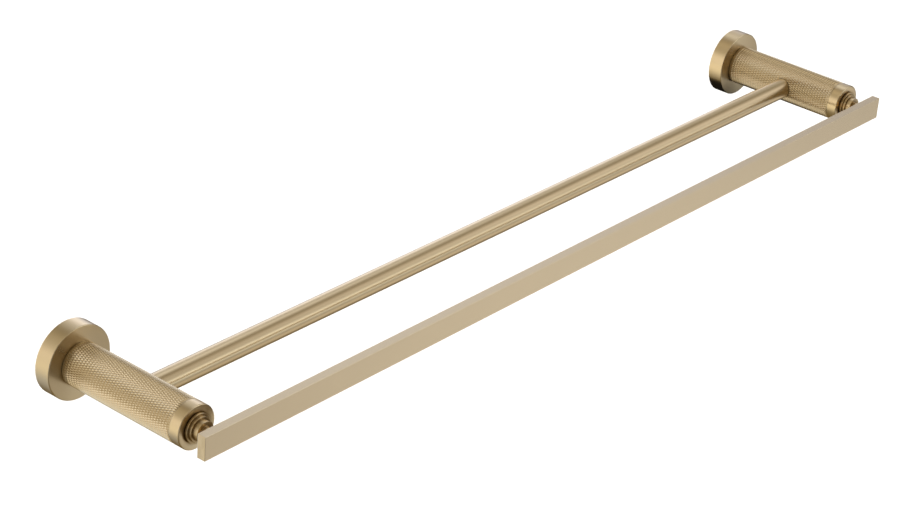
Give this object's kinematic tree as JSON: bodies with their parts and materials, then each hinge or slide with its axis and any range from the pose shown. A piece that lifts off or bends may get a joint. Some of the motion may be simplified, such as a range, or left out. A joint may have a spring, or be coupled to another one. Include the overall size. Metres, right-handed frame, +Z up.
{
  "type": "double towel rail",
  "caption": "Wall-mounted double towel rail: knurled posts on round flanges, a round bar between the posts and a flat bar across the front.",
  "frame": {"origin": "on the wall plane, midway between the two post axes", "axes": "+X along the bars, +Y into the wall, +Z up; the rail stands out of the wall towards -Y"},
  "size_m": [0.825, 0.147, 0.055],
  "materials": {
    "satin_brass": "satin champagne-gold, brushed along the bars and round the flanges",
    "knurled_brass": "satin champagne-gold with a fine diamond knurl",
    "plain_brass": "as turned, uncoated",
    "steel": "stainless, as machined"
  },
  "bodies": {
    "root": {"left_wall_bracket": "steel", "left_flange": "satin_brass", "left_flange_grub_screw": "steel", "left_tie_rod": "steel", "left_tie_rod_nut": "steel", "left_tie_rod_washer": "steel", "left_post_base_plug": "plain_brass", "left_knurled_sleeve": "knurled_brass", "left_rear_bar_seat": "plain_brass", "left_end_ring": "satin_brass", "left_stepped_boss": "satin_brass", "left_front_bar_stud": "steel", "right_wall_bracket": "steel", "right_flange": "satin_brass", "right_flange_grub_screw": "steel", "right_tie_rod": "steel", "right_tie_rod_nut": "steel", "right_tie_rod_washer": "steel", "right_post_base_plug": "plain_brass", "right_knurled_sleeve": "knurled_brass", "right_rear_bar_seat": "plain_brass", "right_end_ring": "satin_brass", "right_stepped_boss": "satin_brass", "right_front_bar_stud": "steel", "rear_bar": "satin_brass", "front_bar": "satin_brass"}
  },
  "joints": []
}
